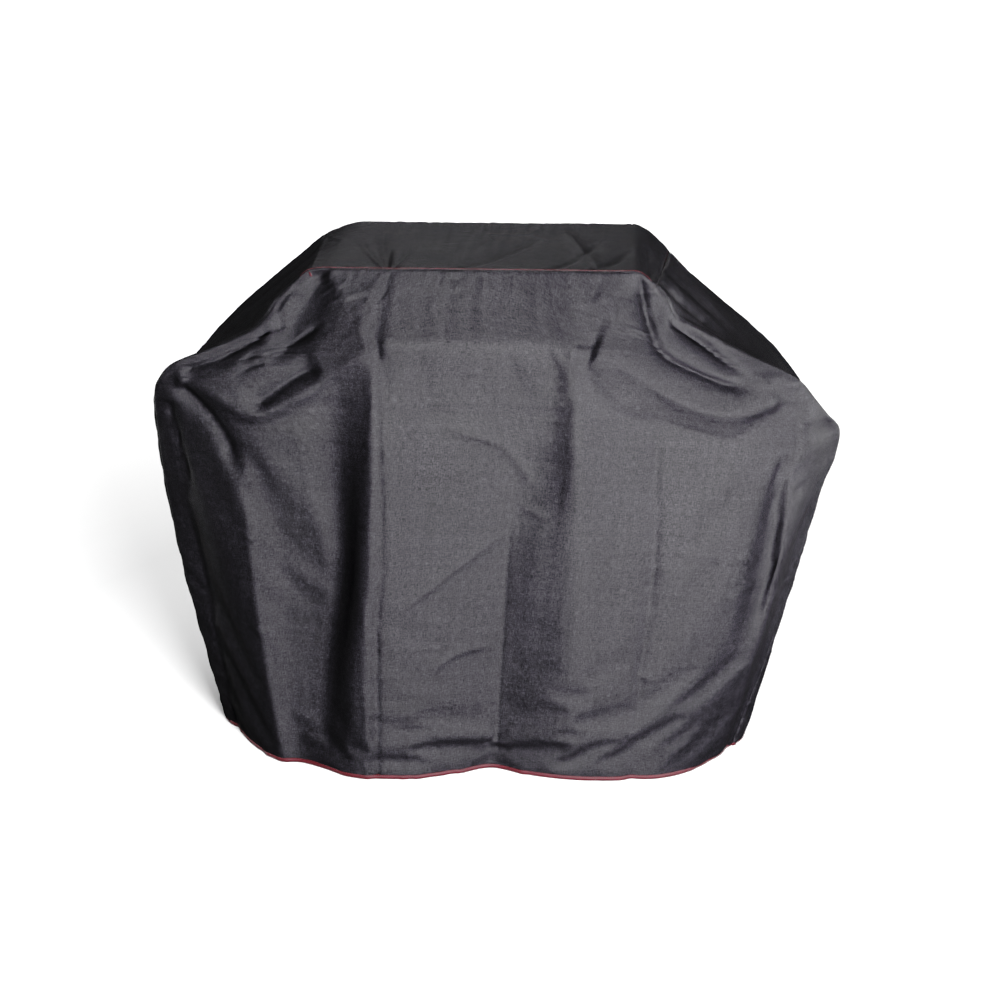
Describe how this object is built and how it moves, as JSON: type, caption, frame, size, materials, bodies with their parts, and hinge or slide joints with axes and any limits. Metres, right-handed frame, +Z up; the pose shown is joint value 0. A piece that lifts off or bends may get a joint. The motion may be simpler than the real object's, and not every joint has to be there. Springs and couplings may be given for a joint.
{
  "type": "grill cover",
  "caption": "Open-bottomed sewn rain cover for a cart grill: flat top over the lid, sloping shoulders down to the shelf ends, a skirt that hangs straight, bound seams and a taped hem.",
  "frame": {"origin": "on the floor under the middle of the hem, at the centre of the bounding box's base", "axes": "+Z up, the front faces -Y, +X to the right seen from the front, along the grill's shelves"},
  "size_m": [1.47, 0.6387, 1.1313],
  "materials": {
    "skirt_cloth": "charcoal woven polyester, heathered, faint sheen, coated inside",
    "band_cloth": "charcoal woven polyester, heathered, faint sheen, coated inside",
    "seam_tape": "dark red woven tape",
    "hem_tape": "dark red woven tape, slightly glossy",
    "thread": "red polyester sewing thread"
  },
  "bodies": {
    "root": {"front_panel": "skirt_cloth", "back_panel": "skirt_cloth", "top_panel": "band_cloth", "left_side_panel": "band_cloth", "right_side_panel": "band_cloth", "front_seam_binding": "seam_tape", "back_seam_binding": "seam_tape", "left_top_seam_binding": "seam_tape", "right_top_seam_binding": "seam_tape", "hem_binding": "hem_tape", "front_seam_stitching": "thread", "back_seam_stitching": "thread", "left_top_seam_stitching": "thread", "right_top_seam_stitching": "thread", "hem_stitching": "thread"}
  },
  "joints": []
}
